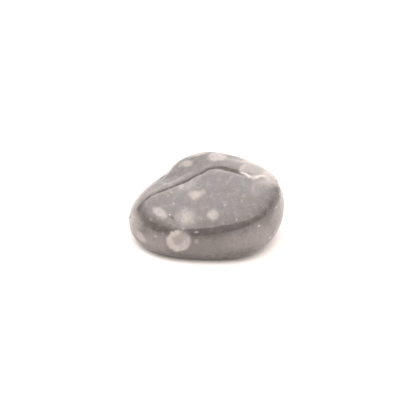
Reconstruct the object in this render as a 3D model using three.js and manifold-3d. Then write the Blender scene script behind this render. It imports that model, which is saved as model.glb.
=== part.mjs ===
// River pebble: one water-worn stone, polished smooth, resting on its flattest side.
// Millimetres, +Z up. The stone is longest along X, and its broad sloping face looks towards -Y.
import * as THREE from 'three';
import { mergeVertices } from 'three/addons/utils/BufferGeometryUtils.js';
import Module from 'manifold-3d';

// Driving dimensions.
// A worn face is a plane: the compass bearing it looks along, in degrees anticlockwise from +X seen
// from above, its rise in degrees above the horizon, and its reach, the distance from the stone's heart.
const LEFT_CREST_FACES = {
  frontSlope: { bearing: 251.5, rise: 61.5, reach: 11.35 },
  backLeftSlope: { bearing: 174, rise: 70.5, reach: 11.0 },
};
const RIGHT_CREST_FACES = {
  backRightSlope: { bearing: 44, rise: 80, reach: 13.12 },
};
const SIDE_FACES = {
  front: { bearing: 268, rise: -0.5, reach: 20.8 },
  frontLeft: { bearing: 225, rise: 1.5, reach: 24.1 },
  left: { bearing: 184, rise: 14, reach: 24.4 },
  leftShoulder: { bearing: 150, rise: 35, reach: 17.9 },
  backLeft: { bearing: 130, rise: 30, reach: 20.8 },
  back: { bearing: 84, rise: 15, reach: 19.0 },
  backRight: { bearing: 35, rise: 25, reach: 22.6 },
  right: { bearing: 358, rise: 4, reach: 26.0 },
  frontRight: { bearing: 321, rise: -9, reach: 25.2 },
};
const LOWER_FACES = {
  base: { bearing: 0, rise: -90, reach: 11.2 },
  underFront: { bearing: 264, rise: -60, reach: 26.0 },
  underLeft: { bearing: 165, rise: -48, reach: 24.0 },
  underBackLeft: { bearing: 125, rise: -40, reach: 20.0 },
  underBack: { bearing: 80, rise: -40, reach: 17.0 },
  underBackRight: { bearing: 38, rise: -38, reach: 21.5 },
  underRight: { bearing: 350, rise: -52, reach: 25.0 },
};

// How crisply neighbouring faces meet: a lower number is rounder. The upper faces meet in a crest, which is
// tightest on the left.
const BODY_CRISPNESS = 7;
const CREST_CRISPNESS = 24;
const LEFT_CREST_CRISPNESS = 52;

// Gentle swells (+) and hollows (-) on the worn faces: where they lie, their spread in degrees as seen
// from the heart, and their height.
const SWELLS = [
  { bearing: 218, rise: 52, spread: 12, height: -0.25 },
  { bearing: 202, rise: 18, spread: 8, height: 0.42 },
  { bearing: 300, rise: 86, spread: 6, height: 0.15 },
  { bearing: 170, rise: 40, spread: 22, height: -0.8 },
  { bearing: 142, rise: 15, spread: 10, height: -0.6 },
  { bearing: 115, rise: 27, spread: 20, height: 1.0 },
  { bearing: 50, rise: 45, spread: 12, height: -0.2 },
  { bearing: 36, rise: 34, spread: 12, height: -0.4 },
  { bearing: 350, rise: 16, spread: 9, height: -0.3 },
];

// The seat is the small flat that the stone has worn on its underside.
const SEAT_DEPTH = 0.15;

// How many times each edge of the starting icosahedron is divided.
const EDGE_DIVISIONS = 20;

const STONE = new THREE.MeshStandardMaterial({ color: 0x9a8f8b, roughness: 0.12, metalness: 0 });

const wasm = await Module();
wasm.setup();

function direction({ bearing, rise }) {
  const around = THREE.MathUtils.degToRad(bearing);
  const up = THREE.MathUtils.degToRad(rise);
  const level = Math.cos(up);
  return new THREE.Vector3(level * Math.cos(around), level * Math.sin(around), Math.sin(up));
}

function withDirections(faces) {
  return faces.map((face) => ({ ...face, normal: direction(face) }));
}

const leftCrestFaces = withDirections(Object.values(LEFT_CREST_FACES));
const rightCrestFaces = withDirections(Object.values(RIGHT_CREST_FACES));
const bodyFaces = withDirections([...Object.values(SIDE_FACES), ...Object.values(LOWER_FACES)]);
const swells = withDirections(SWELLS);

// A sum of powers of the nearness of each plane: its inverse root is the smooth nearest of them.
function nearnessSum(faces, outward, crispness) {
  let sum = 0;
  for (const { normal, reach } of faces) {
    sum += (Math.max(0, outward.dot(normal)) / reach) ** crispness;
  }
  return sum;
}

function swellHeight(outward) {
  let height = 0;
  for (const swell of swells) {
    const apart = THREE.MathUtils.radToDeg(outward.angleTo(swell.normal)) / swell.spread;
    height += swell.height * Math.exp(-apart * apart);
  }
  return height;
}

// Distance from the heart to the surface, along a unit vector.
function surfaceReach(outward) {
  const left = nearnessSum(leftCrestFaces, outward, LEFT_CREST_CRISPNESS);
  const right = nearnessSum(rightCrestFaces, outward, CREST_CRISPNESS);
  const crest = left ** (CREST_CRISPNESS / LEFT_CREST_CRISPNESS) + right;
  const body = nearnessSum(bodyFaces, outward, BODY_CRISPNESS);
  return (crest ** (BODY_CRISPNESS / CREST_CRISPNESS) + body) ** (-1 / BODY_CRISPNESS) + swellHeight(outward);
}

function shareVertices(geometry) {
  geometry.deleteAttribute('normal');
  geometry.deleteAttribute('uv');
  return mergeVertices(geometry);
}

function roundStone() {
  const geometry = shareVertices(new THREE.IcosahedronGeometry(1, EDGE_DIVISIONS));
  const position = geometry.getAttribute('position');
  const outward = new THREE.Vector3();
  for (let i = 0; i < position.count; i += 1) {
    outward.fromBufferAttribute(position, i).normalize();
    outward.multiplyScalar(surfaceReach(outward));
    position.setXYZ(i, outward.x, outward.y, outward.z);
  }
  geometry.computeBoundingBox();
  return geometry;
}

function toSolid(geometry) {
  const vertProperties = new Float32Array(geometry.getAttribute('position').array);
  const triVerts = new Uint32Array(geometry.getIndex().array);
  return new wasm.Manifold(new wasm.Mesh({ numProp: 3, vertProperties, triVerts }));
}

function toGeometry(solid) {
  const mesh = solid.getMesh();
  const geometry = new THREE.BufferGeometry();
  geometry.setAttribute('position', new THREE.BufferAttribute(mesh.vertProperties, mesh.numProp));
  geometry.setIndex(new THREE.BufferAttribute(mesh.triVerts, 1));
  return geometry;
}

// Takes everything below the seat off the stone with one flat cut.
function cutSeat(stone) {
  const { min, max } = stone.boundingBox;
  const block = max.x - min.x + max.y - min.y;
  const below = shareVertices(new THREE.BoxGeometry(block, block, block));
  below.translate(0, 0, min.z + SEAT_DEPTH - block / 2);
  return toGeometry(toSolid(stone).subtract(toSolid(below)));
}

// Puts the origin in the middle of the stone's footprint, on the surface that it rests on.
function standOnOrigin(geometry) {
  geometry.computeBoundingBox();
  const middle = geometry.boundingBox.getCenter(new THREE.Vector3());
  geometry.translate(-middle.x, -middle.y, -geometry.boundingBox.min.z);
  geometry.computeVertexNormals();
  return geometry;
}

const pebble = new THREE.Mesh(standOnOrigin(cutSeat(roundStone())), STONE);
pebble.name = 'pebble';

const group = new THREE.Group();
group.add(pebble);

export default group;
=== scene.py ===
"""River pebble: a polished grey stone with cream spots, and the pale stage that it lies on."""
import math
from typing import NamedTuple

import bpy
import numpy as np
from bpy.props import FloatProperty, FloatVectorProperty, IntProperty, PointerProperty
from mathutils import Matrix, Vector


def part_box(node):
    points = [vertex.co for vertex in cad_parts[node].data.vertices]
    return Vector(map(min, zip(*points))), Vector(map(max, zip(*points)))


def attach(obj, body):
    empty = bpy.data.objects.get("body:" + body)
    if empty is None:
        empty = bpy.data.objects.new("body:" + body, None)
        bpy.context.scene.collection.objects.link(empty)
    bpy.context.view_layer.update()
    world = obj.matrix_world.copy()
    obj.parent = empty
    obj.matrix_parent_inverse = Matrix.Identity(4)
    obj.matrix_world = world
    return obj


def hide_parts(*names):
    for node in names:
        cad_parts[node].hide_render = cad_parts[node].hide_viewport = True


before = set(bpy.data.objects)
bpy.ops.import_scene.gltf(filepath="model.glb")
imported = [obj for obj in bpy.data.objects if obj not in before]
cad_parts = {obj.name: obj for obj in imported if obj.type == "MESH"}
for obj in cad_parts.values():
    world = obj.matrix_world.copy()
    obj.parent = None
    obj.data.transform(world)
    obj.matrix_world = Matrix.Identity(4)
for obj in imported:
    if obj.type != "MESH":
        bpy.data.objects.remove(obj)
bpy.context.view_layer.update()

bl_info = {
    "name": "River Pebble",
    "version": (1, 0, 0),
    "blender": (4, 5, 0),
    "location": "3D View > Sidebar > Pebble",
    "description": "Builds a polished river pebble with cream spots and a pale stage for it",
    "category": "Add Mesh",
}

NODE = "pebble"
BODY = "root"
CAD_LOW, CAD_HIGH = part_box(NODE)

MILLIMETRE = 0.001
SEED = 7


class Face(NamedTuple):
    """A worn face: the bearing it looks along, its rise above the horizon and its reach from the heart."""

    bearing: float
    rise: float
    reach: float


class Swell(NamedTuple):
    """A gentle swell (+) or hollow (-): where it lies, its spread as an angle and its height."""

    bearing: float
    rise: float
    spread: float
    height: float


class Patch(NamedTuple):
    """An oval on the surface: where its middle lies, its half length, its half width and its turn."""

    bearing: float
    rise: float
    length: float
    width: float
    turn: float = 0.0


class Spot(NamedTuple):
    """A patch of another mineral, or a patch of painted shade, painted highlight or painted reflection: its
    place, its tone, how soft its edge is and how strong it is.
    """

    name: str
    place: Patch
    tone: str
    softness: float
    strength: float


class Speck(NamedTuple):
    """A small round grain: where it lies, its radius, its tone and how strong it is."""

    name: str
    bearing: float
    rise: float
    radius: float
    tone: str
    strength: float


class Area(NamedTuple):
    """A stretch of surface that is dull or speckled: its place and how strongly."""

    name: str
    place: Patch
    strength: float


class Chip(NamedTuple):
    """A small chip out of the surface: its place and how deep it is in the middle."""

    place: Patch
    depth: float


class Fade(NamedTuple):
    """A smooth change of a light's brightness along a way in X and Y, from low at start to high at end."""

    name: str
    way: tuple
    start: float
    end: float
    low: float
    high: float


class Noise(NamedTuple):
    """A noise pattern: how fine it is, how many finer layers it has and how strong they are."""

    scale: float
    detail: float
    roughness: float = 0.5


class Grains(NamedTuple):
    """Grains in the cells of a random pattern: its fineness, their radius and the share of cells with one."""

    scale: float
    radius: float
    share: float


class Span(NamedTuple):
    """A smooth step from low at start to high at end."""

    start: float
    end: float
    low: float = 0.0
    high: float = 1.0


# The stone's form, in millimetres and degrees. Bearings run anticlockwise from +X, seen from above.
LEFT_CREST_FACES = (
    Face(251.5, 61.5, 11.35),  # front slope
    Face(174, 70.5, 11.0),  # back left slope
)
RIGHT_CREST_FACES = (
    Face(44, 80, 13.12),  # back right slope
)
SIDE_FACES = (
    Face(268, -0.5, 20.8),  # front
    Face(225, 1.5, 24.1),  # front left
    Face(184, 14, 24.4),  # left
    Face(150, 35, 17.9),  # left shoulder
    Face(130, 30, 20.8),  # back left
    Face(84, 15, 19.0),  # back
    Face(35, 25, 22.6),  # back right
    Face(358, 4, 26.0),  # right
    Face(321, -9, 25.2),  # front right
)
LOWER_FACES = (
    Face(0, -90, 11.2),  # base
    Face(264, -60, 26.0),  # under the front
    Face(165, -48, 24.0),  # under the left
    Face(125, -40, 20.0),  # under the back left
    Face(80, -40, 17.0),  # under the back
    Face(38, -38, 21.5),  # under the back right
    Face(350, -52, 25.0),  # under the right
)
SWELLS = (
    Swell(218, 52, 12, -0.25),
    Swell(202, 18, 8, 0.42),
    Swell(300, 86, 6, 0.15),
    Swell(170, 40, 22, -0.8),
    Swell(142, 15, 10, -0.6),
    Swell(115, 27, 20, 1.0),
    Swell(50, 45, 12, -0.2),
    Swell(36, 34, 12, -0.4),
    Swell(350, 16, 9, -0.3),
)

# Small chips and nicks.
CHIPS = (
    Chip(Patch(237, 7, 0.9, 0.4, 150), 0.3),
    Chip(Patch(195, -6, 1.4, 0.45, 38), 0.3),
    Chip(Patch(155, 21.5, 3.4, 0.6, 2), 0.3),
    Chip(Patch(347, 23.5, 0.9, 0.45, 150), 0.25),
    Chip(Patch(221, 3, 0.6, 0.4, 12), 0.08),
    Chip(Patch(205, 2, 0.5, 0.35, 60), 0.08),
    Chip(Patch(118, -6, 1.1, 0.5, 35), 0.18),
    Chip(Patch(62, 8, 0.7, 0.4, 120), 0.14),
    Chip(Patch(20, -14, 1.0, 0.4, 80), 0.16),
)

# Polishing leaves faint ripples: how many cross each other, and how many waves they have around the stone.
RIPPLES = 36
RIPPLE_PITCH = (14.0, 46.0)

# The seat is a small flat on the underside: how much is worn off there, and how round its edge is.
SEAT_DEPTH = 0.15
SEAT_ROUNDING = 0.04

# How far the stone's box may be off the CAD solid's, and the step for measuring which way the surface faces.
FIT_TOLERANCE = 0.5
NORMAL_STEP = 0.004

# Spots that show from the front, in the order in which they overlap.
SPOTS = (
    Spot("brown back", Patch(115, 65, 4.2, 2.1, 12), "umber", 0.7, 0.35),
    Spot("brown middle", Patch(302, 37, 1.8, 1.1, 7), "umber", 0.8, 0.25),
    Spot("brown left", Patch(214, 14, 1.5, 0.9, 169), "umber", 0.7, 0.4),
    # Painted shade: these umber and plain grey patches darken the left rim and the band across the front,
    # deepening the mirrored dark gap between the lights.
    Spot("painted shade on the left rim", Patch(231, 1.5, 3.8, 1.6, 166), "umber", 0.8, 0.65),
    Spot("painted shade along the band's top", Patch(273, 7.5, 4.8, 0.8, 14), "umber", 0.6, 0.5),
    Spot("painted shade along the band", Patch(280, 0.5, 10.5, 1.6, 5), "cool_grey", 0.35, 0.65),
    Spot("painted dark strip in the band", Patch(270, -3.5, 4.8, 0.6, 10), "umber", 0.6, 0.6),
    Spot("painted dark line on the left rim", Patch(206, 3, 2.8, 1.0, 114), "umber", 0.7, 0.6),
    Spot("brown corner", Patch(196, 18, 1.8, 0.9, 20), "umber", 0.7, 0.35),
    # Painted reflection: this cream patch paints the bright floor mirrored in the stone's left side.
    Spot("painted floor reflection on the left", Patch(203, -7, 5.4, 3.0, 56), "cream", 0.65, 0.45),
    # Partly real pale patches and partly painted light that lightens the stone's lower side, where the bright
    # floor lights it and is mirrored in it; the lower front patch is painted light only.
    Spot("low left pale", Patch(228, -13, 6.4, 2.8, 11), "ash", 0.55, 0.9),
    Spot("painted light on the lower front", Patch(270, -14, 8.6, 2.8, 2), "pale_grey", 0.55, 0.75),
    Spot("low right beige", Patch(299, -8, 7.0, 3.0), "ash", 0.6, 0.95),
    Spot("low right pale", Patch(314, -8, 6.4, 3.6, 136), "ash", 0.65, 1.0),
    Spot("facet right", Patch(325, 29, 2.6, 2.4), "ash", 0.9, 0.4),
    Spot("top back", Patch(66, 54, 4.2, 2.9, 110), "cream", 0.35, 0.8),
    Spot("upper left", Patch(129, 44, 2.8, 1.5, 31), "cream", 0.4, 0.6),
    Spot("middle", Patch(251, 35, 1.9, 1.5), "cream", 0.6, 0.65),
    Spot("streak", Patch(190, 30, 3.8, 0.6, 57), "cream", 0.8, 0.3),
    Spot("left long", Patch(224, 9, 2.8, 1.3, 160), "cream", 0.4, 0.62),
    Spot("front soft", Patch(250, 10, 2.5, 2.2, 115), "cream", 0.95, 0.54),
    Spot("front core", Patch(250, 10, 1.3, 1.1, 115), "cream", 0.8, 0.3),
    Spot("facet spot", Patch(277, 14, 1.8, 1.5, 110), "cream", 0.45, 0.62),
    Spot("ring halo", Patch(247, -9, 4.2, 3.8, 46), "pale_grey", 0.3, 0.7),
    Spot("ring", Patch(247, -9, 3.75, 3.45, 46), "white", 0.15, 0.66),
    Spot("ring middle", Patch(247, -8.5, 1.7, 1.5, 49), "ash", 0.5, 0.85),
    Spot("ring top", Patch(252, -4, 1.6, 1.5, 142), "ash", 0.6, 0.6),
    Spot("low left", Patch(213, -13, 2.5, 1.4, 165), "cream", 0.4, 0.8),
    Spot("lens", Patch(356, 38, 7.2, 4.2, 126), "white", 0.2, 0.6),
    Spot("lens middle", Patch(357, 38, 5.8, 3.3, 122), "sand", 0.25, 0.85),
    Spot("beside the lens", Patch(335, 30, 2.8, 2.0, 149), "cream", 0.8, 0.5),
    Spot("right patch", Patch(350, 26, 6.6, 2.9, 150), "white", 0.5, 0.62),
    # Painted highlight: two white lines paint the bright highlight line along the lower edge of the lens
    # spot.
    Spot("painted highlight under the lens, left", Patch(336, 41, 2.4, 0.42, 150), "white", 0.5, 0.9),
    Spot("painted highlight under the lens, right", Patch(341, 33.5, 2.8, 0.6, 114), "white", 0.5, 1.0),
    Spot("behind the lens", Patch(28, 41, 3.4, 2.8, 150), "sand", 0.5, 0.6),
    Spot("right streak", Patch(325, 30, 1.9, 0.5, 100), "cream", 0.8, 0.25),
    Spot("band fleck", Patch(262, -0.5, 0.66, 0.3, 15), "cream", 0.4, 0.8),
    # Darker marks laid over three of the chips; the one in the notch is painted shade, where the far side of
    # the notch falls into shadow.
    Spot("scratch", Patch(238, 7, 1.1, 0.4, 142), "umber", 0.5, 1.0),
    Spot("tick", Patch(195, -6, 1.4, 0.5, 38), "umber", 0.5, 0.9),
    Spot("painted shade in the notch", Patch(155, 21.5, 3.4, 0.6, 2), "umber", 0.5, 0.95),
)

# How deep the spots go into the stone.
SPOT_DEPTH = 1.6

# Single small grains, and how soft their edges are.
SPECKS = (
    Speck("dark dot", 348, 23, 0.6, "umber", 0.95),
    Speck("upper left dot", 137, 36, 0.49, "cream", 0.4),
    Speck("back fleck", 183, 45, 0.6, "cream", 0.3),
    Speck("back rim left", 109, 35, 1.7, "cream", 0.45),
    Speck("back rim", 101, 39, 1.8, "cream", 0.6),
    Speck("back rim right", 93, 41, 1.6, "cream", 0.45),
    Speck("middle tail", 264, 41, 0.85, "cream", 0.3),
    Speck("crest blob", 220, 40, 0.7, "cream", 0.3),
    Speck("facet dot", 217, 24, 0.45, "cream", 0.25),
    Speck("facet dot right", 226, 24, 0.35, "cream", 0.2),
    Speck("facet dot high", 216, 29, 0.42, "cream", 0.3),
    Speck("facet dot low", 230, 19, 0.35, "cream", 0.35),
    Speck("under the soft spot", 250, 1, 0.39, "cream", 0.4),
    Speck("crest", 289, 35, 0.4, "cream", 0.22),
    Speck("high", 312, 40, 0.3, "cream", 0.25),
    Speck("right", 308, 23, 0.32, "cream", 0.35),
    Speck("middle", 291, 22, 0.4, "cream", 0.3),
    Speck("low", 296, 10, 0.25, "white", 0.6),
    Speck("front", 266, 10, 0.27, "cream", 0.6),
    Speck("under the band", 311, 3, 0.33, "white", 0.6),
    Speck("right foot", 326, -12.5, 0.41, "white", 0.8),
    Speck("right rim", 328, 11, 0.39, "white", 0.7),
    Speck("right edge", 336, 18, 0.39, "white", 0.7),
    Speck("bright dot", 233.5, 9.8, 0.28, "white", 0.9),
    Speck("left rim", 220, 3, 0.5, "cream", 0.3),
    Speck("left", 228, -8, 0.35, "cream", 0.6),
    Speck("by the ring", 234, -5, 0.29, "cream", 0.5),
    Speck("soft by the ring", 262, -8, 0.75, "cream", 0.35),
)
SPECK_SOFTNESS = 0.5

# Spots on the back and the underside are drawn at random between these limits.
BACK_SPOTS = 8
UNDER_SPOTS = 5
BACK_BEARINGS = (12.0, 168.0)
BACK_RISES = (-32.0, 26.0)
UNDER_RISES = (-80.0, -36.0)
SPOT_LENGTHS = (1.0, 3.8)
SPOT_ASPECTS = (0.5, 0.95)
SPOT_SOFTNESSES = (0.15, 0.7)
SPOT_STRENGTHS = (0.4, 0.85)
ALL_ROUND = (0.0, 360.0)
SPOT_TURNS = (0.0, 180.0)

# Areas that are worn dull, and areas that are strewn with fine grains.
DULL_AREAS = (
    Area("left rim", Patch(215, 4, 6.0, 4.2, 159), 0.7),
    Area("left of the ring", Patch(232, 1, 4.6, 2.2, 164), 0.6),
    Area("right rim", Patch(328, 17, 7.2, 3.2, 48), 1.0),
    Area("right of the band", Patch(322, 10, 3.4, 2.2), 0.6),
    Area("right crest", Patch(336, 31, 6.6, 4.6, 2), 1.0),
    Area("right side", Patch(342, 4, 8.0, 6.0), 0.8),
    Area("back left", Patch(164, 34, 5.2, 3.0, 30), 0.7),
)
SPECKLED_AREAS = (
    Area("right foot", Patch(311, -6, 5.4, 3.4, 146), 1.0),
    Area("right rim", Patch(323, 14, 6.0, 4.0, 48), 0.8),
    Area("left rim", Patch(216, 2, 5.0, 3.4, 159), 0.45),
)
AREA_DEPTH = 4.0
AREA_SOFTNESS = 0.55

# Patterns in the stone, per millimetre, and the steps that turn them into masks.
CLOUDS = Noise(0.12, 3.0)
WARM_CLOUDS = Span(0.42, 0.58)
MOTTLING = Noise(0.5, 5.0, 0.6)
PALE_MOTTLING = Span(0.45, 0.68, 0.0, 0.75)
FLECKS = Noise(0.95, 4.0, 0.65)
BROWN_FLECKS = Span(0.52, 0.68, 0.0, 0.7)
GRAIN = Noise(2.4, 2.0)
FINE_GRAIN = Span(0.42, 0.68, 0.0, 0.3)
SPOT_GRAIN = Noise(1.1, 4.0, 0.65)
SPOT_TEXTURE = Span(0.36, 0.6, 0.62, 1.05)
STREWN_SPECKS = Grains(0.7, 0.17, 0.35)
DUST = Grains(1.5, 0.13, 0.6)

# How the edges of spots wander, in millimetres.
WANDER = Noise(0.55, 4.0, 0.6)
WANDER_SHIFT = 1.5
NOISE_MIDDLE = (0.5, 0.5, 0.5)

# Surface of the stone: the brightness from which spots are less polished, the fine wear and the refraction.
SPOT_BRIGHTNESS = (0.18, 0.32)
WEAR = Noise(1.5, 3.0)
WEAR_DEPTH = 0.05
WEAR_WHERE_POLISHED = 0.05
STONE_IOR = 1.55

# Vector operations that give one number.
NUMBER_OPERATIONS = ("LENGTH", "DISTANCE", "DOT_PRODUCT")

# Socket numbers of a Mix node that mixes colours.
MIX_FACTOR = 0
MIX_BELOW = 6
MIX_ABOVE = 7
MIX_RESULT = 2


class PebbleForm(bpy.types.PropertyGroup):
    """How the stone is worn."""

    divisions: IntProperty(
        name="Divisions", description="Squares along each edge of the starting cube", default=120, min=8
    )
    body_crispness: FloatProperty(
        name="Body crispness", description="How crisply the side faces meet", default=7.0, min=2.0
    )
    crest_crispness: FloatProperty(
        name="Crest crispness", description="How crisply the upper faces meet", default=24.0, min=2.0
    )
    left_crest_crispness: FloatProperty(
        name="Left crest crispness",
        description="How crisply the crest's left end is worn",
        default=52.0,
        min=2.0,
    )
    ripple: FloatProperty(
        name="Ripple", description="Height of the faint ripples in millimetres", default=0.0015, min=0.0
    )


class PebbleFinish(bpy.types.PropertyGroup):
    """The stone's colours and polish. Some colours also serve as painted shade, painted highlight and painted
    reflection in the spots.
    """

    cool_grey: FloatVectorProperty(
        name="Cool grey", description="Ground of the stone", subtype="COLOR", default=(0.09, 0.081, 0.082)
    )
    warm_grey: FloatVectorProperty(
        name="Warm grey", description="Clouds in the ground", subtype="COLOR", default=(0.099, 0.084, 0.078)
    )
    pale_grey: FloatVectorProperty(
        name="Pale grey", description="Pale mottling", subtype="COLOR", default=(0.155, 0.14, 0.135)
    )
    cream: FloatVectorProperty(
        name="Cream", description="The larger spots", subtype="COLOR", default=(0.38, 0.336, 0.316)
    )
    white: FloatVectorProperty(
        name="White", description="The brightest specks", subtype="COLOR", default=(0.52, 0.475, 0.445)
    )
    ash: FloatVectorProperty(
        name="Ash", description="The middles of ringed spots", subtype="COLOR", default=(0.205, 0.185, 0.179)
    )
    sand: FloatVectorProperty(
        name="Sand", description="Beige patches", subtype="COLOR", default=(0.18, 0.153, 0.133)
    )
    umber: FloatVectorProperty(
        name="Umber", description="Brown mottling", subtype="COLOR", default=(0.066, 0.051, 0.045)
    )
    polish: FloatProperty(
        name="Polish",
        description="Roughness of the polished stone",
        subtype="FACTOR",
        default=0.06,
        min=0.0,
        max=1.0,
    )
    spot_roughness: FloatProperty(
        name="Spot roughness",
        description="Roughness that the pale spots add",
        subtype="FACTOR",
        default=0.2,
        min=0.0,
        max=1.0,
    )
    dull_roughness: FloatProperty(
        name="Dull roughness",
        description="Roughness that the dull areas add",
        subtype="FACTOR",
        default=0.3,
        min=0.0,
        max=1.0,
    )


class PebbleStage(bpy.types.PropertyGroup):
    """The camera and the studio light."""

    elevation: FloatProperty(
        name="Elevation",
        description="How far the camera looks down on the stone",
        subtype="ANGLE",
        default=math.radians(28),
    )
    distance: FloatProperty(
        name="Distance", description="From the camera to the stone", unit="LENGTH", default=0.45, min=0.1
    )
    picture_width: FloatProperty(
        name="Picture width", description="Width of the picture at the stone", unit="LENGTH", default=0.124
    )
    overhead: FloatProperty(
        name="Overhead", description="Radiance of the light overhead", default=3.62, min=0.0
    )
    back_panel: FloatProperty(
        name="Back panel", description="Radiance of the panel behind", default=1.16, min=0.0
    )
    right_panel: FloatProperty(
        name="Right panel", description="Radiance of the panel on the right", default=1.65, min=0.0
    )
    light: FloatVectorProperty(
        name="Light", description="Colour of the light", subtype="COLOR", default=(1.0, 0.955, 0.94)
    )
    room: FloatProperty(name="Room", description="Radiance of the dim room around", default=0.25, min=0.0)
    floor: FloatVectorProperty(
        name="Floor", description="Colour of the floor", subtype="COLOR", default=(0.85, 0.815, 0.79)
    )
    glow: FloatVectorProperty(
        name="Glow",
        description="Light that the floor gives itself",
        subtype="COLOR",
        default=(0.1, 0.087, 0.078),
    )


def direction(bearing, rise):
    """Unit vector along a bearing and a rise, in degrees."""
    around = math.radians(bearing)
    up = math.radians(rise)
    return np.array((math.cos(up) * math.cos(around), math.cos(up) * math.sin(around), math.sin(up)))


def nearness_sum(faces, outward, crispness):
    """Sum of powers of the nearness of each plane: its inverse root is the smooth nearest of them."""
    total = np.zeros(len(outward))
    for face in faces:
        facing = np.maximum(0.0, outward @ direction(face.bearing, face.rise))
        total += (facing / face.reach) ** crispness
    return total


def swell_height(outward):
    """Height of the swells and hollows along each unit vector."""
    height = np.zeros(len(outward))
    for swell in SWELLS:
        facing = np.clip(outward @ direction(swell.bearing, swell.rise), -1.0, 1.0)
        apart = np.degrees(np.arccos(facing)) / swell.spread
        height += swell.height * np.exp(-apart * apart)
    return height


def surface_reach(outward, form):
    """Distance in millimetres from the heart to the smooth surface along each unit vector."""
    crest = nearness_sum(LEFT_CREST_FACES, outward, form.left_crest_crispness)
    crest **= form.crest_crispness / form.left_crest_crispness
    crest += nearness_sum(RIGHT_CREST_FACES, outward, form.crest_crispness)
    crest **= form.body_crispness / form.crest_crispness
    body = nearness_sum(SIDE_FACES + LOWER_FACES, outward, form.body_crispness)
    return (crest + body) ** (-1.0 / form.body_crispness) + swell_height(outward)


def patch_middle(place, form):
    """Where the middle of a patch or a speck lies on the surface, in millimetres from the heart."""
    out = direction(place.bearing, place.rise)
    return out * surface_reach(out[None, :], form)[0]


def patch_axes(place, form):
    """Unit vectors along a patch, across it and out of the surface."""
    out = direction(place.bearing, place.rise)
    level = np.cross((0, 0, 1), out)
    level /= np.linalg.norm(level)
    steep = np.cross(out, level)
    around = out + NORMAL_STEP * np.array((level, -level, steep, -steep))
    around /= np.linalg.norm(around, axis=1, keepdims=True)
    east, west, north, south = around * surface_reach(around, form)[:, None]
    normal = Vector(np.cross(east - west, north - south)).normalized()
    sideways = Vector((0, 0, 1)).cross(normal).normalized()
    turn = math.radians(place.turn)
    along = sideways * math.cos(turn) + normal.cross(sideways) * math.sin(turn)
    return along, normal.cross(along), normal


def ripple_height(outward, form):
    """Height of the faint ripples that the polishing leaves along each unit vector."""
    draw = np.random.default_rng(SEED)
    height = np.zeros(len(outward))
    for _ in range(RIPPLES):
        across = draw.normal(size=3)
        across /= np.linalg.norm(across)
        pitch = draw.uniform(*RIPPLE_PITCH)
        start = draw.uniform(0.0, 2.0 * math.pi)
        height += np.sin(pitch * (outward @ across) + start)
    return form.ripple * height


def chip_depth(points, form):
    """Depth of the chips at points given in millimetres from the heart."""
    depth = np.zeros(len(points))
    for chip in CHIPS:
        along, across, out = patch_axes(chip.place, form)
        apart = points - patch_middle(chip.place, form)
        lengthwise = apart @ np.array(along) / chip.place.length
        crosswise = apart @ np.array(across) / chip.place.width
        inwards = apart @ np.array(out) / chip.place.length
        depth += chip.depth * np.exp(-(lengthwise**2 + crosswise**2 + inwards**2))
    return depth


def cube_sphere(divisions):
    """Unit vectors and squares of a cube's six gridded sides, blown up to a ball."""
    steps = np.arange(divisions + 1)
    first, second = np.meshgrid(steps, steps, indexing="ij")
    number = (first * (divisions + 1) + second).astype(int)
    square = np.stack((number[:-1, :-1], number[1:, :-1], number[1:, 1:], number[:-1, 1:]), axis=-1)
    square = square.reshape(-1, 4)
    places = []
    squares = []
    for axis in range(3):
        for level in (0, divisions):
            side = np.empty((divisions + 1, divisions + 1, 3), int)
            side[..., axis] = level
            side[..., (axis + 1) % 3] = first
            side[..., (axis + 2) % 3] = second
            outwards = square if level else square[:, ::-1]
            squares.append(outwards + len(places) * number.size)
            places.append(side.reshape(-1, 3))
    shared, which = np.unique(np.concatenate(places), axis=0, return_inverse=True)
    spread = np.tan((2.0 * shared / divisions - 1.0) * math.pi / 4)
    outward = spread / np.linalg.norm(spread, axis=1, keepdims=True)
    return outward, which.reshape(-1)[np.concatenate(squares)]


def set_on_seat(points):
    """Moves the points to the CAD frame, flattens the seat and returns them with the heart's new place."""
    lowest = points[:, 2].min() + SEAT_DEPTH
    level = points[:, 2] - lowest
    level = (level + np.sqrt(level * level + SEAT_ROUNDING * SEAT_ROUNDING)) / 2
    middle = (points[:, :2].min(axis=0) + points[:, :2].max(axis=0)) / 2
    placed = np.column_stack((points[:, :2] - middle, level - level.min()))
    return placed, np.array((-middle[0], -middle[1], -lowest))


def check_fit(points):
    """Stops if the stone isn't where the CAD solid is."""
    low = np.array(CAD_LOW) / MILLIMETRE
    high = np.array(CAD_HIGH) / MILLIMETRE
    off = max(np.abs(points.min(axis=0) - low).max(), np.abs(points.max(axis=0) - high).max())
    if off > FIT_TOLERANCE:
        raise RuntimeError(f"the stone is {off:.2f} mm off the CAD solid")


def stone_mesh(form):
    """The fine mesh of the stone in metres, and the place of its heart in millimetres."""
    outward, squares = cube_sphere(form.divisions)
    reach = surface_reach(outward, form)
    reach += ripple_height(outward, form)
    reach -= chip_depth(outward * reach[:, None], form)
    points, heart = set_on_seat(outward * reach[:, None])
    check_fit(points)
    mesh = bpy.data.meshes.new("pebble_skin")
    mesh.from_pydata((points * MILLIMETRE).tolist(), [], squares.tolist())
    mesh.validate()
    mesh.shade_smooth()
    return mesh, heart


def add_node(tree, kind, label, inputs=None, **settings):
    """Adds a labelled node. An input given as a socket is linked, and any other value is set on it."""
    node = tree.nodes.new(kind)
    node.label = label
    for name, value in settings.items():
        setattr(node, name, value)
    for name, value in (inputs or {}).items():
        if isinstance(value, bpy.types.NodeSocket):
            tree.links.new(value, node.inputs[name])
        else:
            node.inputs[name].default_value = value
    return node


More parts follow.
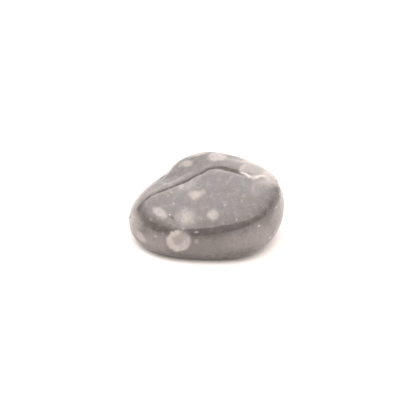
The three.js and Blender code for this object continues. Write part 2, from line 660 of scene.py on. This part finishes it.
def add_math(tree, label, operation, first, second=0.0):
    """Result of a sum on one or two numbers."""
    node = add_node(tree, "ShaderNodeMath", label, {0: first, 1: second}, operation=operation)
    return node.outputs["Value"]


def add_vector(tree, label, operation, inputs):
    """Result of a sum on vectors."""
    node = add_node(tree, "ShaderNodeVectorMath", label, inputs, operation=operation)
    return node.outputs["Value" if operation in NUMBER_OPERATIONS else "Vector"]


def add_range(tree, label, value, start, end, low=0.0, high=1.0):
    """Value run smoothly from low at start to high at end."""
    inputs = {"Value": value, "From Min": start, "From Max": end, "To Min": low, "To Max": high}
    node = add_node(tree, "ShaderNodeMapRange", label, inputs, interpolation_type="SMOOTHSTEP")
    return node.outputs["Result"]


def add_mix(tree, label, factor, below, above):
    """Colour above laid over colour below by factor."""
    inputs = {MIX_FACTOR: factor, MIX_BELOW: below, MIX_ABOVE: above}
    return add_node(tree, "ShaderNodeMix", label, inputs, data_type="RGBA").outputs[MIX_RESULT]


def add_noise(tree, label, position, noise):
    """Outputs of a noise texture."""
    inputs = {
        "Vector": position,
        "Scale": noise.scale,
        "Detail": noise.detail,
        "Roughness": noise.roughness,
    }
    return add_node(tree, "ShaderNodeTexNoise", label, inputs, noise_dimensions="3D").outputs


def opaque(colour):
    """A colour property as the four numbers of a colour socket."""
    return (*colour, 1.0)


def new_group(name, inputs, outputs):
    """Node group with the sockets named, the outputs of its input node and the inputs of its output node."""
    group = bpy.data.node_groups.new(name, "ShaderNodeTree")
    for way, sockets in (("INPUT", inputs), ("OUTPUT", outputs)):
        for socket, kind in sockets.items():
            group.interface.new_socket(socket, in_out=way, socket_type=f"NodeSocket{kind}")
    return group, group.nodes.new("NodeGroupInput").outputs, group.nodes.new("NodeGroupOutput").inputs


OVAL_SOCKETS = {
    "Position": "Vector",
    "Middle": "Vector",
    "Turn": "Vector",
    "Size": "Vector",
    "Softness": "Float",
}


def oval_group():
    """Node group that masks one oval patch: 1 well inside it and 0 outside."""
    group, given, made = new_group("Oval patch", OVAL_SOCKETS, {"Mask": "Float"})
    inputs = {
        "Vector": given["Position"],
        "Location": given["Middle"],
        "Rotation": given["Turn"],
        "Scale": given["Size"],
    }
    own = add_node(group, "ShaderNodeMapping", "Own axes", inputs, vector_type="TEXTURE").outputs["Vector"]
    apart = add_vector(group, "From the middle", "LENGTH", {0: own})
    outer = add_math(group, "Outer edge", "ADD", 1.0, given["Softness"])
    inner = add_math(group, "Inner edge", "SUBTRACT", 1.0, given["Softness"])
    group.links.new(add_range(group, "Within the edge", apart, outer, inner), made["Mask"])
    return group


def spot_group(oval):
    """Node group that lays one spot over the colour below: a grain of another mineral, or painted shade,
    painted highlight or painted light.
    """
    inputs = {"Colour": "Color", "Tone": "Color", "Strength": "Float", "Texture": "Float", **OVAL_SOCKETS}
    group, given, made = new_group("Spot of mineral or painted light", inputs, {"Colour": "Color"})
    own = {name: given[name] for name in OVAL_SOCKETS}
    mask = add_node(group, "ShaderNodeGroup", "Oval", own, node_tree=oval).outputs["Mask"]
    uneven = add_math(group, "By texture", "MULTIPLY", mask, given["Texture"])
    strong = add_math(group, "By strength", "MULTIPLY", uneven, given["Strength"])
    group.links.new(add_mix(group, "Lay the tone", strong, given["Colour"], given["Tone"]), made["Colour"])
    return group


def speck_group():
    """Node group that lays one small round grain over the colour below."""
    inputs = {"Colour": "Color", "Tone": "Color", "Strength": "Float"}
    inputs.update({"Position": "Vector", "Middle": "Vector", "Inner": "Float", "Outer": "Float"})
    group, given, made = new_group("Mineral speck", inputs, {"Colour": "Color"})
    apart = add_vector(group, "From the middle", "DISTANCE", {0: given["Position"], 1: given["Middle"]})
    mask = add_range(group, "Within the edge", apart, given["Outer"], given["Inner"])
    strong = add_math(group, "By strength", "MULTIPLY", mask, given["Strength"])
    group.links.new(add_mix(group, "Lay the tone", strong, given["Colour"], given["Tone"]), made["Colour"])
    return group


def patch_inputs(place, depth, softness, position, heart, form):
    """Values of the oval group's sockets for one patch."""
    axes = Matrix(patch_axes(place, form)).transposed()
    return {
        "Position": position,
        "Middle": tuple(heart + patch_middle(place, form)),
        "Turn": tuple(axes.to_euler()),
        "Size": (place.length, place.width, depth),
        "Softness": softness,
    }


def hidden_spots():
    """Seeded spots for the back and the underside."""
    draw = np.random.default_rng(SEED)
    spots = []
    for side, count, bearings, rises in (
        ("back", BACK_SPOTS, BACK_BEARINGS, BACK_RISES),
        ("under", UNDER_SPOTS, ALL_ROUND, UNDER_RISES),
    ):
        for number in range(1, count + 1):
            length = draw.uniform(*SPOT_LENGTHS)
            width = length * draw.uniform(*SPOT_ASPECTS)
            bearing = draw.uniform(*bearings)
            rise = draw.uniform(*rises)
            place = Patch(bearing, rise, length, width, draw.uniform(*SPOT_TURNS))
            softness = draw.uniform(*SPOT_SOFTNESSES)
            spots.append(Spot(f"{side} {number}", place, "cream", softness, draw.uniform(*SPOT_STRENGTHS)))
    return spots


def lay_spots(tree, oval, position, colour, heart, form, finish):
    """Lays the spots over the ground colour, more strongly in some places than in others."""
    group = spot_group(oval)
    grain = add_noise(tree, "Spot grain", position, SPOT_GRAIN)["Fac"]
    texture = add_range(tree, "Spot texture", grain, *SPOT_TEXTURE)
    for spot in (*SPOTS, *hidden_spots()):
        inputs = patch_inputs(spot.place, SPOT_DEPTH, spot.softness, position, heart, form)
        inputs["Colour"] = colour
        inputs["Tone"] = opaque(getattr(finish, spot.tone))
        inputs["Strength"] = spot.strength
        inputs["Texture"] = texture
        colour = add_node(tree, "ShaderNodeGroup", spot.name, inputs, node_tree=group).outputs["Colour"]
    return colour


def lay_specks(tree, position, colour, heart, form, finish):
    """Lays the single specks over the colour."""
    group = speck_group()
    for speck in SPECKS:
        inputs = {
            "Colour": colour,
            "Tone": opaque(getattr(finish, speck.tone)),
            "Strength": speck.strength,
            "Position": position,
            "Middle": tuple(heart + patch_middle(speck, form)),
            "Inner": speck.radius * (1.0 - SPECK_SOFTNESS),
            "Outer": speck.radius * (1.0 + SPECK_SOFTNESS),
        }
        colour = add_node(tree, "ShaderNodeGroup", speck.name, inputs, node_tree=group).outputs["Colour"]
    return colour


def add_areas(tree, oval, areas, position, heart, form):
    """Mask of all the areas together."""
    mask = 0.0
    for area in areas:
        inputs = patch_inputs(area.place, AREA_DEPTH, AREA_SOFTNESS, position, heart, form)
        own = add_node(tree, "ShaderNodeGroup", area.name, inputs, node_tree=oval).outputs["Mask"]
        strong = add_math(tree, f"{area.name} strength", "MULTIPLY", own, area.strength)
        mask = add_math(tree, f"{area.name} joined", "MAXIMUM", mask, strong)
    return mask


def add_grains(tree, label, position, grains):
    """Mask of tiny round grains, one in a share of the cells of a random pattern."""
    inputs = {"Vector": position, "Scale": grains.scale}
    cells = add_node(tree, "ShaderNodeTexVoronoi", f"{label} cells", inputs).outputs
    edge = grains.radius * grains.scale
    near = add_range(tree, f"{label} grains", cells["Distance"], edge, edge / 2)
    chance = add_node(tree, "ShaderNodeSeparateColor", f"{label} chance", {0: cells["Color"]}).outputs["Red"]
    kept = add_math(tree, f"{label} kept", "LESS_THAN", chance, grains.share)
    return add_math(tree, label, "MULTIPLY", near, kept)


def ground_colour(tree, position, finish):
    """The grey of the stone, with warm clouds, pale mottling, brown flecks and fine grain."""
    clouds = add_noise(tree, "Clouds", position, CLOUDS)["Fac"]
    warmth = add_range(tree, "Warm clouds", clouds, *WARM_CLOUDS)
    colour = add_mix(tree, "Ground", warmth, opaque(finish.cool_grey), opaque(finish.warm_grey))
    mottle = add_noise(tree, "Mottling", position, MOTTLING)["Fac"]
    pale = add_range(tree, "Pale mottling", mottle, *PALE_MOTTLING)
    colour = add_mix(tree, "Mottled ground", pale, colour, opaque(finish.pale_grey))
    flecks = add_noise(tree, "Flecks", position, FLECKS)["Fac"]
    brown = add_range(tree, "Brown flecks", flecks, *BROWN_FLECKS)
    colour = add_mix(tree, "Flecked ground", brown, colour, opaque(finish.umber))
    grain = add_noise(tree, "Grain", position, GRAIN)["Fac"]
    fine = add_range(tree, "Fine grain", grain, *FINE_GRAIN)
    return add_mix(tree, "Grained ground", fine, colour, opaque(finish.pale_grey))


def wandering_position(tree, position):
    """The position pushed about by noise, so that the edges of spots wander."""
    noise = add_noise(tree, "Wander", position, WANDER)["Color"]
    centred = add_vector(tree, "Centred", "SUBTRACT", {0: noise, 1: NOISE_MIDDLE})
    shift = add_vector(tree, "Shift", "SCALE", {0: centred, "Scale": WANDER_SHIFT})
    return add_vector(tree, "Wandering", "ADD", {0: position, 1: shift})


def stone_material(heart, form, finish):
    """Polished grey stone with clouds, fine mottling, specks and spots of other minerals, and spots of
    painted shade, painted highlight and painted light on the band, the rims and the lower side.
    """
    material = bpy.data.materials.new("polished_stone")
    material.use_nodes = True
    tree = material.node_tree
    tree.nodes.clear()

    place = add_node(tree, "ShaderNodeTexCoord", "Place on the stone").outputs["Object"]
    position = add_vector(tree, "Millimetres", "SCALE", {0: place, "Scale": 1 / MILLIMETRE})
    wandering = wandering_position(tree, position)
    oval = oval_group()

    colour = ground_colour(tree, position, finish)
    colour = lay_spots(tree, oval, wandering, colour, heart, form, finish)
    colour = lay_specks(tree, wandering, colour, heart, form, finish)
    strewn = add_grains(tree, "Strewn specks", wandering, STREWN_SPECKS)
    colour = add_mix(tree, "Speckled stone", strewn, colour, opaque(finish.ash))
    dust = add_grains(tree, "Dust", wandering, DUST)
    speckled = add_areas(tree, oval, SPECKLED_AREAS, wandering, heart, form)
    dusty = add_math(tree, "Dust in places", "MULTIPLY", dust, speckled)
    colour = add_mix(tree, "Dusted stone", dusty, colour, opaque(finish.cream))

    dull = add_areas(tree, oval, DULL_AREAS, wandering, heart, form)
    brightness = add_node(tree, "ShaderNodeRGBToBW", "Brightness", {0: colour}).outputs["Val"]
    by_spots = add_range(tree, "Spot roughness", brightness, *SPOT_BRIGHTNESS, 0.0, finish.spot_roughness)
    by_wear = add_math(tree, "Dull roughness", "MULTIPLY", dull, finish.dull_roughness)
    added = add_math(tree, "Added roughness", "ADD", by_spots, by_wear)
    roughness = add_math(tree, "Roughness", "ADD", added, finish.polish)

    wear = add_noise(tree, "Wear", position, WEAR)["Fac"]
    depth = add_range(tree, "Wear depth", dull, 0.0, 1.0, WEAR_WHERE_POLISHED, 1.0)
    inputs = {"Height": wear, "Distance": WEAR_DEPTH * MILLIMETRE, "Strength": depth}
    normal = add_node(tree, "ShaderNodeBump", "Fine wear", inputs).outputs["Normal"]

    inputs = {"Base Color": colour, "Roughness": roughness, "Normal": normal, "IOR": STONE_IOR}
    shader = add_node(tree, "ShaderNodeBsdfPrincipled", "Polished stone", inputs)
    out = tree.nodes.new("ShaderNodeOutputMaterial")
    tree.links.new(shader.outputs["BSDF"], out.inputs["Surface"])
    return material


def add_object(name, data):
    """A new object in the scene."""
    made = bpy.data.objects.new(name, data)
    bpy.context.scene.collection.objects.link(made)
    return made


class PEBBLE_OT_stone(bpy.types.Operator):
    """Makes the pebble in place of the CAD solid"""

    bl_idname = "pebble.make_stone"
    bl_label = "Make pebble"

    def execute(self, context):
        form = context.scene.pebble_form
        mesh, heart = stone_mesh(form)
        mesh.materials.append(stone_material(heart, form, context.scene.pebble_finish))
        stone = add_object("polished_pebble", mesh)
        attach(stone, BODY)
        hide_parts(NODE)
        return {"FINISHED"}


# The stage, in metres. The fades shape how the lights and the floor are mirrored in the stone.
FLOOR_FRONT = -0.9
FLOOR_BACK = 0.6
FLOOR_SIDE = 1.5
FLOOR_ROUGHNESS = 0.9
OVERHEAD_LOW = Vector((-1.35, -0.69))
OVERHEAD_HIGH = Vector((0.96, 0.21))
OVERHEAD_FADES = (
    Fade("left to right", (1, 0), -0.42, 0.8, 1.2, 0.42),
    Fade("front to middle", (0, 1), -0.66, 0.05, 0.78, 1.0),
    Fade("bright back", (0, 1), 0.05, 0.21, 1.0, 1.7),
    Fade("dim left", (1, 0.27), -0.6, -0.48, 0.45, 1.0),
    Fade("left edge", (1, 0.8), -1.15, -1.0, 0.0, 1.0),
    Fade("right edge", (1, 0), 0.96, 0.78, 0.0, 1.0),
    Fade("front edge", (0, 1), -0.69, -0.63, 0.0, 1.0),
)
OVERHEAD_LEVEL = 0.5
FLOOR_FADES = (
    Fade("bright front", (0, 1), -0.9, -0.2, 7.0, 1.0),
    Fade("bright right", (1, 0), 0.008, 0.03, 1.0, 3.0),
    Fade("far right", (1, 0), 0.05, 0.14, 1.0, 0.35),
)
BACK_PANEL_SIZE = (2.7, 0.42)
BACK_PANEL_PLACE = (0.25, 0.6)
RIGHT_PANEL_SIZE = (1.1, 0.9)
RIGHT_PANEL_PLACE = (1.4, 0.36)
ROOM_COLOUR = (1.0, 0.97, 0.94, 1.0)
WHITE = (1.0, 1.0, 1.0, 1.0)
WHITE_GROUND = 1.2

# The camera stands off from the aim, and looks past it by these lengths to place the stone in the picture.
STONE_AIM = Vector((-0.0001, -0.00005, 0.009))
FRAME_RIGHT = -0.00186
FRAME_UP = 0.00258
SENSOR_WIDTH = 36.0
CLIP_START = 0.01
CLIP_END = 10.0


def flat_object(name, corners, material):
    """A flat piece of the stage with four corners."""
    mesh = bpy.data.meshes.new(name)
    mesh.from_pydata(corners, [], [(0, 1, 2, 3)])
    mesh.materials.append(material)
    made = add_object(name, mesh)
    return made


def faded(tree, fades, strength):
    """Strength of a light, changed by all the fades across it."""
    place = add_node(tree, "ShaderNodeTexCoord", "Place").outputs["Object"]
    for fade in fades:
        along = add_vector(tree, f"{fade.name} place", "DOT_PRODUCT", {0: place, 1: (*fade.way, 0)})
        share = add_range(tree, fade.name, along, fade.start, fade.end, fade.low, fade.high)
        strength = add_math(tree, f"{fade.name} strength", "MULTIPLY", share, strength)
    return strength


def overhead_light(stage):
    """A wide flat light overhead that is brightest along its back edge and on its left."""
    material = bpy.data.materials.new("overhead_glow")
    material.use_nodes = True
    tree = material.node_tree
    tree.nodes.clear()
    strength = faded(tree, OVERHEAD_FADES, stage.overhead)
    inputs = {"Color": opaque(stage.light), "Strength": strength}
    glow = add_node(tree, "ShaderNodeEmission", "Glow", inputs).outputs["Emission"]
    out = tree.nodes.new("ShaderNodeOutputMaterial")
    tree.links.new(glow, out.inputs["Surface"])
    corners = [
        (OVERHEAD_LOW.x, OVERHEAD_HIGH.y, OVERHEAD_LEVEL),
        (OVERHEAD_HIGH.x, OVERHEAD_HIGH.y, OVERHEAD_LEVEL),
        (OVERHEAD_HIGH.x, OVERHEAD_LOW.y, OVERHEAD_LEVEL),
        (OVERHEAD_LOW.x, OVERHEAD_LOW.y, OVERHEAD_LEVEL),
    ]
    flat_object("overhead", corners, material).visible_camera = False


def lit_panel(name, stage, radiance, size, place, turn):
    """An upright lit panel that the camera doesn't see itself."""
    light = bpy.data.lights.new(name, "AREA")
    light.shape = "RECTANGLE"
    light.color = stage.light
    light.size, light.size_y = size
    light.energy = radiance * math.pi * light.size * light.size_y
    made = add_object(name, light)
    made.location = (*place, light.size_y / 2)
    made.rotation_euler = (-math.pi / 2, 0, turn)
    made.visible_camera = False


def pale_floor(stage):
    """A pale floor that is faintly lit from below."""
    material = bpy.data.materials.new("pale_floor")
    material.use_nodes = True
    tree = material.node_tree
    shader = tree.nodes["Principled BSDF"]
    shader.inputs["Base Color"].default_value = opaque(stage.floor)
    shader.inputs["Roughness"].default_value = FLOOR_ROUGHNESS
    shader.inputs["Specular IOR Level"].default_value = 0.0
    shader.inputs["Emission Color"].default_value = opaque(stage.glow)
    tree.links.new(faded(tree, FLOOR_FADES, 1.0), shader.inputs["Emission Strength"])
    corners = [
        (-FLOOR_SIDE, FLOOR_FRONT, 0),
        (FLOOR_SIDE, FLOOR_FRONT, 0),
        (FLOOR_SIDE, FLOOR_BACK, 0),
        (-FLOOR_SIDE, FLOOR_BACK, 0),
    ]
    flat_object("floor", corners, material)


def studio_world(stage):
    """A dim room that lights the stone, and a white ground behind it for the camera."""
    world = bpy.data.worlds.new("studio")
    world.use_nodes = True
    tree = world.node_tree
    tree.nodes.clear()
    inputs = {"Color": ROOM_COLOUR, "Strength": stage.room}
    dim = add_node(tree, "ShaderNodeBackground", "Dim room", inputs)
    inputs = {"Color": WHITE, "Strength": WHITE_GROUND}
    white = add_node(tree, "ShaderNodeBackground", "White ground", inputs)
    seen = add_node(tree, "ShaderNodeLightPath", "Seen").outputs["Is Camera Ray"]
    mix = add_node(tree, "ShaderNodeMixShader", "Room or ground", {0: seen})
    tree.links.new(dim.outputs[0], mix.inputs[1])
    tree.links.new(white.outputs[0], mix.inputs[2])
    out = tree.nodes.new("ShaderNodeOutputWorld")
    tree.links.new(mix.outputs[0], out.inputs["Surface"])
    return world


def studio_camera(stage):
    """A camera in front of the stone that looks down on it."""
    lens = bpy.data.cameras.new("camera")
    lens.sensor_width = SENSOR_WIDTH
    lens.lens = SENSOR_WIDTH * stage.distance / stage.picture_width
    lens.clip_start = CLIP_START
    lens.clip_end = CLIP_END
    camera = add_object("camera", lens)
    back = Vector((0, -math.cos(stage.elevation), math.sin(stage.elevation)))
    right = Vector((1, 0, 0))
    up = back.cross(right)
    camera.location = STONE_AIM + back * stage.distance
    target = STONE_AIM + right * FRAME_RIGHT + up * FRAME_UP
    camera.rotation_euler = (target - camera.location).to_track_quat("-Z", "Y").to_euler()
    return camera


class PEBBLE_OT_stage(bpy.types.Operator):
    """Makes the floor, the studio light and the camera"""

    bl_idname = "pebble.make_stage"
    bl_label = "Make stage"

    def execute(self, context):
        stage = context.scene.pebble_stage
        pale_floor(stage)
        overhead_light(stage)
        lit_panel("back_panel", stage, stage.back_panel, BACK_PANEL_SIZE, BACK_PANEL_PLACE, 0.0)
        lit_panel("right_panel", stage, stage.right_panel, RIGHT_PANEL_SIZE, RIGHT_PANEL_PLACE, -math.pi / 2)
        context.scene.world = studio_world(stage)
        context.scene.camera = studio_camera(stage)
        context.scene.view_settings.view_transform = "Standard"
        return {"FINISHED"}


class PEBBLE_PT_panel(bpy.types.Panel):
    """Lists the steps and their values."""

    bl_label = "River pebble"
    bl_space_type = "VIEW_3D"
    bl_region_type = "UI"
    bl_category = "Pebble"

    def draw(self, context):
        for values, step in (
            ("pebble_form", None),
            ("pebble_finish", PEBBLE_OT_stone),
            ("pebble_stage", PEBBLE_OT_stage),
        ):
            group = getattr(context.scene, values)
            for name in group.bl_rna.properties.keys():
                if name not in ("rna_type", "name"):
                    self.layout.prop(group, name)
            if step:
                self.layout.operator(step.bl_idname)


CLASSES = (PebbleForm, PebbleFinish, PebbleStage, PEBBLE_OT_stone, PEBBLE_OT_stage, PEBBLE_PT_panel)


def register():
    """Registers the classes and gives the scene their values."""
    for item in CLASSES:
        bpy.utils.register_class(item)
    bpy.types.Scene.pebble_form = PointerProperty(type=PebbleForm)
    bpy.types.Scene.pebble_finish = PointerProperty(type=PebbleFinish)
    bpy.types.Scene.pebble_stage = PointerProperty(type=PebbleStage)


def unregister():
    """Takes the values off the scene again and unregisters the classes."""
    del bpy.types.Scene.pebble_stage
    del bpy.types.Scene.pebble_finish
    del bpy.types.Scene.pebble_form
    for item in reversed(CLASSES):
        bpy.utils.unregister_class(item)


def main():
    """Makes the stage and the stone."""
    register()
    bpy.ops.pebble.make_stage()
    bpy.ops.pebble.make_stone()


if __name__ == "__main__":
    main()
